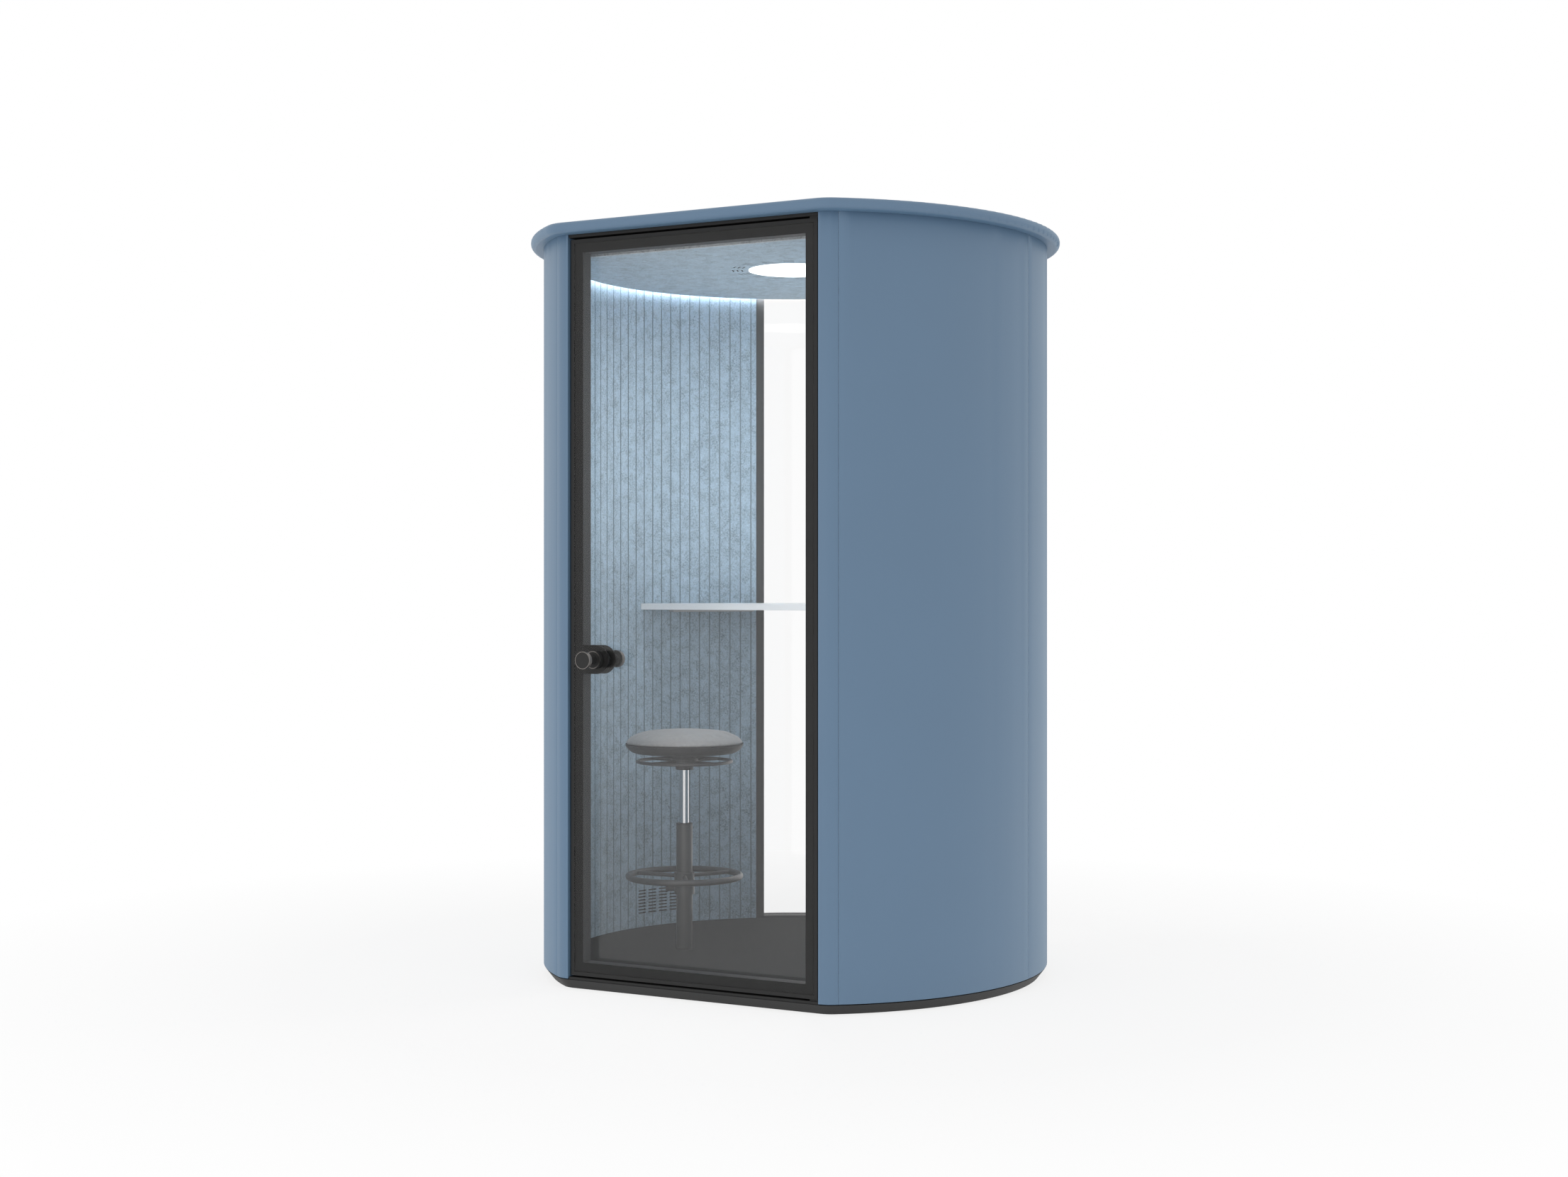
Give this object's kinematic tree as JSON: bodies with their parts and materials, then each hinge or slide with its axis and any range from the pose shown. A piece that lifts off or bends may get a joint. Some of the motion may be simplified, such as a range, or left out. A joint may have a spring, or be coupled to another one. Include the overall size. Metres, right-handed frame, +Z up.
{
  "type": "office pod",
  "caption": "Round one-person office phone booth with a hinged glass door, grooved felt walls, a fixed desk, a lit ceiling and a height-adjustable stool.",
  "frame": {"origin": "on the ground at the centre of the round plan, under the middle levelling foot", "axes": "+X to the right seen from the door, +Y to the back window, +Z up"},
  "size_m": [1.5958, 1.485, 2.203],
  "materials": {
    "panel_blue": "matte blue-grey paint on curved board",
    "plinth_dark": "matte dark grey paint",
    "deck_board": "bare plywood",
    "carpet_dark": "speckled dark needle felt",
    "felt_blue": "mottled pale blue-grey felt",
    "wool_core": "insulating fibre board",
    "metal_black": "matte black coated",
    "metal_grey": "dark grey coated",
    "glass_clear": "clear, slightly tinted",
    "rubber_black": "matte black seal",
    "desk_white": "white laminate",
    "ledger_steel": "pale grey coated steel",
    "stool_dark": "fine matte dark grey coat",
    "chrome_bright": "polished",
    "steel_bare": "ground",
    "plastic_dark": "fine grain",
    "plastic_white": "white",
    "light_white": "white diffuser, lit",
    "gloss_black": "gloss black",
    "seat_grey": "melange grey upholstery",
    "housing_metal": "plain sheet"
  },
  "bodies": {
    "pod": {"levelling_feet": "plastic_dark", "base_plinth": "plinth_dark", "threshold": "metal_black", "floor_deck": "deck_board", "floor_carpet": "carpet_dark", "outer_panel_front_left": "panel_blue", "outer_panel_front_right": "panel_blue", "outer_panel_rear_left": "panel_blue", "outer_panel_rear_right": "panel_blue", "front_pillar_left": "panel_blue", "front_pillar_right": "panel_blue", "wall_core_left": "wool_core", "wall_core_right": "wool_core", "felt_wall_left": "felt_blue", "felt_wall_right": "felt_blue", "rear_post_left": "metal_grey", "rear_post_right": "metal_grey", "rear_sill": "metal_grey", "rear_head": "plinth_dark", "rear_glass": "glass_clear", "roof_cap": "panel_blue", "ceiling_panel": "felt_blue", "ceiling_fascia": "felt_blue", "ceiling_carrier": "deck_board", "led_strip": "light_white", "light_diffuser": "light_white", "light_housing": "housing_metal", "led_driver": "plastic_white", "fan_housing": "plastic_dark", "door_header": "metal_black", "door_stops": "metal_black", "door_seals": "rubber_black", "pivot_shoes": "steel_bare", "pivot_pins": "steel_bare", "desk_top": "desk_white", "desk_ledgers": "ledger_steel", "stool_flange": "stool_dark", "stool_column": "stool_dark", "guide_bush": "plastic_dark", "gas_piston_rod": "steel_bare"},
    "door": {"door_leaf_frame": "metal_black", "pivot_bushes": "plastic_dark", "door_glass_outer": "glass_clear", "door_glass_inner": "glass_clear", "knob_tabs": "gloss_black", "knob_spindle": "metal_black", "knob_spacer": "plastic_dark", "knob_rosettes": "metal_black", "knob_discs": "metal_black", "knob_rings": "chrome_bright"},
    "lift": {"gas_cylinder": "chrome_bright"},
    "seat": {"seat_hub": "plastic_dark", "seat_shell": "plastic_dark", "seat_cushion": "seat_grey"},
    "lever": {"lift_ring": "stool_dark"},
    "foot_rest": {"foot_ring": "stool_dark"},
    "clamp": {"clamp_screw": "plastic_dark"},
    "fan": {"fan_rotor": "plastic_dark"}
  },
  "joints": [
    {"name": "door_hinge", "type": "hinge", "parent": "pod", "child": "door", "pos_m": [0.39, -0.609, 1.1], "axis": [0, 0, 1], "range_deg": [0, 105]},
    {"name": "stool_lift", "type": "slide", "parent": "pod", "child": "lift", "axis": [0, 0, 1], "range_m": [-0.15, 0.05]},
    {"name": "seat_swivel", "type": "hinge", "parent": "lift", "child": "seat", "pos_m": [-0.326, -0.108, 0.63], "axis": [0, 0, 1], "continuous": true},
    {"name": "lever_pull", "type": "slide", "parent": "seat", "child": "lever", "axis": [0, 0, 1], "range_m": [0, 0.006], "stiffness_N_per_m": 500, "springref_m": -0.02},
    {"name": "foot_ring_slide", "type": "slide", "parent": "pod", "child": "foot_rest", "axis": [0, 0, 1], "range_m": [-0.15, 0.13]},
    {"name": "clamp_turn", "type": "hinge", "parent": "foot_rest", "child": "clamp", "pos_m": [-0.3612, -0.1271, 0.235], "axis": [-0.8788, -0.4772, 0], "continuous": true},
    {"name": "fan_spin", "type": "hinge", "parent": "pod", "child": "fan", "pos_m": [0, 0.33, 2.16], "axis": [0, 0, 1], "continuous": true}
  ]
}
